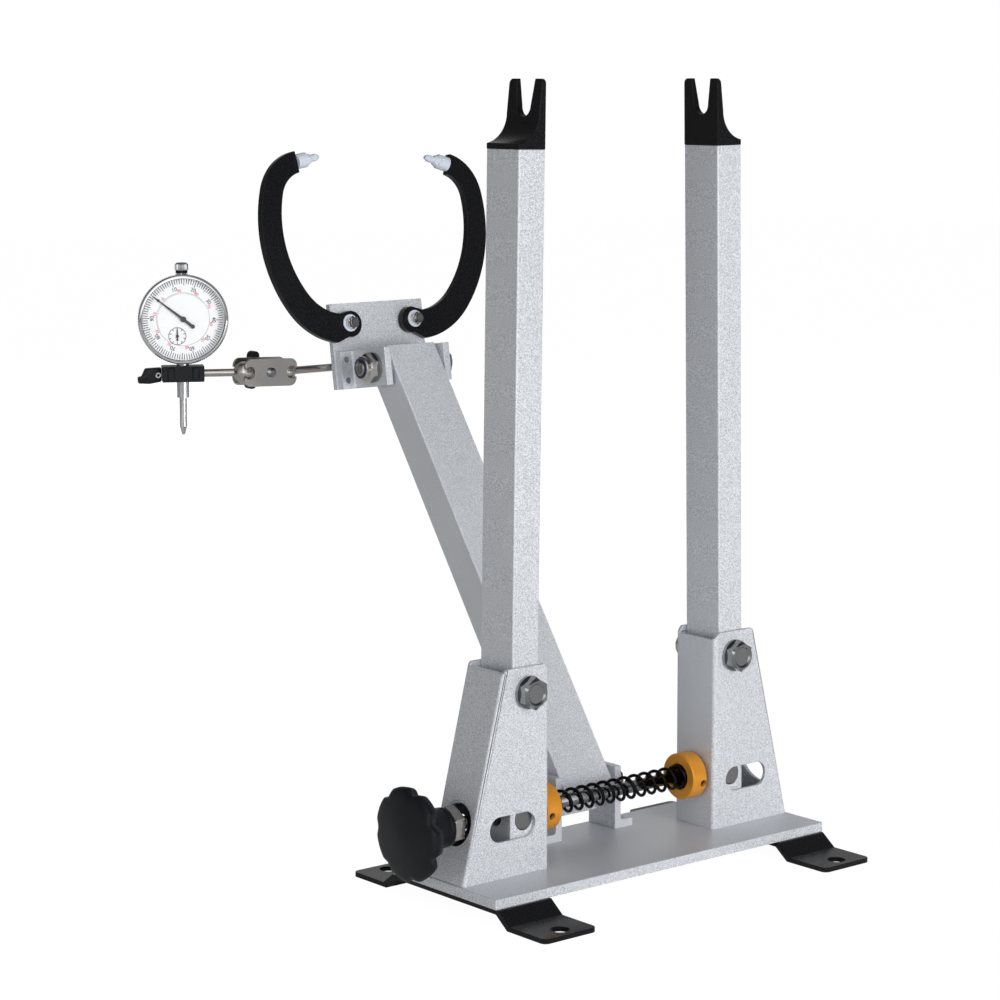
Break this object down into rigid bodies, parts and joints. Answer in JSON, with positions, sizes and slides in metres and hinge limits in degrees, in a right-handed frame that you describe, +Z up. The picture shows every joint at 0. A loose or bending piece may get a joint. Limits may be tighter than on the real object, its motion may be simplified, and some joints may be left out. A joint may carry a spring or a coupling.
{
  "type": "bicycle wheel truing stand",
  "caption": "Truing stand with two tube uprights spread by a knob turned screw and spring, a leaning caliper arm with curved rim fingers, and a dial gauge on a swivel.",
  "frame": {"origin": "on the bench, in the middle between the four bench holes", "axes": "+X along the base away from the knob, +Y to the rear where the caliper arm leans, +Z up"},
  "size_m": [0.3053, 0.3771, 0.4855],
  "materials": {
    "silver_paint": "satin fine-textured silver powder coat",
    "black_paint": "satin black coat",
    "zinc_steel": "bright zinc plate",
    "nickel_steel": "polished nickel plate",
    "gold_anodised": "gold anodised",
    "black_spring_steel": "black oil finish",
    "black_plastic": "fine matt",
    "white_nylon": "translucent white nylon",
    "satin_chrome": "satin chrome",
    "steel_plunger": "ground",
    "clear_crystal": "clear",
    "dial_white": "matt white print",
    "pointer_black": "satin"
  },
  "bodies": {
    "base": {"base_plate": "silver_paint", "foot_straps": "black_paint", "strap_screws": "zinc_steel", "left_tower": "silver_paint", "right_tower": "silver_paint", "tower_bolts": "zinc_steel", "tower_washers": "zinc_steel", "tower_nuts": "zinc_steel", "thrust_washers": "zinc_steel", "clevis_lugs": "silver_paint", "clevis_screws": "zinc_steel", "arm_bolt": "zinc_steel", "arm_nut": "zinc_steel"},
    "left_arm": {"left_upright": "silver_paint", "left_dropout": "black_paint"},
    "right_arm": {"right_upright": "silver_paint", "right_dropout": "black_paint"},
    "left_barrel": {"left_barrel_nut": "zinc_steel"},
    "right_barrel": {"right_barrel_nut": "zinc_steel"},
    "screw": {"spreader_screw": "zinc_steel", "knob": "black_plastic", "jam_nut": "zinc_steel", "left_collar": "gold_anodised", "right_collar": "gold_anodised", "grub_screws": "zinc_steel", "spring": "black_spring_steel"},
    "caliper": {"caliper_arm": "silver_paint", "arm_bushes": "white_nylon", "head_bushes": "white_nylon"},
    "head": {"head_plate": "silver_paint", "head_lugs": "silver_paint", "head_screws": "zinc_steel", "head_bolt": "zinc_steel", "head_washer": "zinc_steel", "head_nut": "zinc_steel", "finger_bolts": "zinc_steel", "finger_washers": "white_nylon", "finger_nuts": "zinc_steel", "rod_block": "zinc_steel", "gauge_rod": "nickel_steel"},
    "left_feeler": {"left_finger": "black_paint", "left_tip": "white_nylon"},
    "right_feeler": {"right_finger": "black_paint", "right_tip": "white_nylon"},
    "swivel": {"swivel_plates": "nickel_steel", "swivel_screw": "zinc_steel"},
    "wing_knob": {"swivel_knob": "black_plastic"},
    "holder": {"holder_rod": "nickel_steel", "stem_holder": "black_plastic"},
    "thumb_screw": {"holder_screw": "black_plastic"},
    "gauge": {"gauge_case": "satin_chrome", "dust_cap": "satin_chrome", "dial_face": "dial_white"},
    "bezel_ring": {"bezel": "satin_chrome", "crystal": "clear_crystal", "scale_ring": "dial_white"},
    "hand": {"pointer": "pointer_black"},
    "counter_hand": {"counter_pointer": "pointer_black"},
    "spindle": {"plunger": "steel_plunger", "contact_point": "steel_plunger"}
  },
  "joints": [
    {"name": "knob_turn", "type": "hinge", "parent": "base", "child": "screw", "pos_m": [0, 0, 0.0496], "axis": [1, 0, 0], "range_deg": [-450, 1800]},
    {"name": "left_arm_tilt", "type": "hinge", "parent": "base", "child": "left_arm", "pos_m": [-0.0843, 0, 0.1262], "axis": [0, 1, 0], "range_deg": [-1.45, 5.7]},
    {"name": "right_arm_tilt", "type": "hinge", "parent": "base", "child": "right_arm", "pos_m": [0.0843, 0, 0.1262], "axis": [0, 1, 0], "range_deg": [-5.7, 1.45]},
    {"name": "left_nut_slide", "type": "slide", "parent": "base", "child": "left_barrel", "axis": [-1, 0, 0], "range_m": [-0.0019, 0.0076]},
    {"name": "right_nut_slide", "type": "slide", "parent": "base", "child": "right_barrel", "axis": [1, 0, 0], "range_m": [-0.0019, 0.0076]},
    {"name": "caliper_tilt", "type": "hinge", "parent": "base", "child": "caliper", "pos_m": [0, 0.036, 0.045], "axis": [1, 0, 0], "range_deg": [-20, 25]},
    {"name": "head_tilt", "type": "hinge", "parent": "caliper", "child": "head", "pos_m": [0, 0.2081, 0.29681], "axis": [1, 0, 0], "range_deg": [-30, 30]},
    {"name": "left_feeler_swing", "type": "hinge", "parent": "head", "child": "left_feeler", "pos_m": [-0.027, 0.21268, 0.32747], "axis": [0, -0.989, 0.1478], "range_deg": [-12, 15]},
    {"name": "right_feeler_swing", "type": "hinge", "parent": "head", "child": "right_feeler", "pos_m": [0.027, 0.21268, 0.32747], "axis": [0, 0.989, -0.1478], "range_deg": [-12, 15]},
    {"name": "swivel_lift", "type": "hinge", "parent": "head", "child": "swivel", "pos_m": [-0.0724, 0.24345, 0.29456], "axis": [0, 1, 0], "range_deg": [-35, 15]},
    {"name": "wing_knob_turn", "type": "hinge", "parent": "swivel", "child": "wing_knob", "pos_m": [-0.08888, 0.24345, 0.29528], "axis": [0, 1, 0], "continuous": true},
    {"name": "gauge_swing", "type": "hinge", "parent": "swivel", "child": "holder", "pos_m": [-0.10537, 0.24345, 0.296], "axis": [0, 0, 1], "range_deg": [-25, 25]},
    {"name": "thumb_screw_turn", "type": "hinge", "parent": "holder", "child": "thumb_screw", "pos_m": [-0.13983, 0.26255, 0.296], "axis": [0.8746, -0.4848, 0], "continuous": true},
    {"name": "stem_slide", "type": "slide", "parent": "holder", "child": "gauge", "axis": [0, 0, 1], "range_m": [-0.0015, 0.009]},
    {"name": "bezel_turn", "type": "hinge", "parent": "gauge", "child": "bezel_ring", "pos_m": [-0.13983, 0.26255, 0.3318], "axis": [0.4848, 0.8746, 0], "continuous": true},
    {"name": "pointer_turn", "type": "hinge", "parent": "gauge", "child": "hand", "pos_m": [-0.13983, 0.26255, 0.3318], "axis": [0.4848, 0.8746, 0], "range_deg": [-1, 3604]},
    {"name": "counter_turn", "type": "hinge", "parent": "gauge", "child": "counter_hand", "pos_m": [-0.14315, 0.26439, 0.3209], "axis": [0.4848, 0.8746, 0], "range_deg": [-361, 1]},
    {"name": "plunger_slide", "type": "slide", "parent": "gauge", "child": "spindle", "axis": [0, 0, 1], "range_m": [0, 0.01], "stiffness_N_per_m": 60, "springref_m": -0.013}
  ],
  "couplings": [
    {"joint": "left_arm_tilt", "follows": "knob_turn", "ratio": 0.0031166},
    {"joint": "right_arm_tilt", "follows": "knob_turn", "ratio": -0.0031166},
    {"joint": "left_nut_slide", "follows": "knob_turn", "m_per_rad": 0.00023873},
    {"joint": "right_nut_slide", "follows": "knob_turn", "m_per_rad": 0.00023873},
    {"joint": "pointer_turn", "follows": "plunger_slide", "rad_per_m": 6283.2},
    {"joint": "counter_turn", "follows": "plunger_slide", "rad_per_m": -628.32}
  ]
}
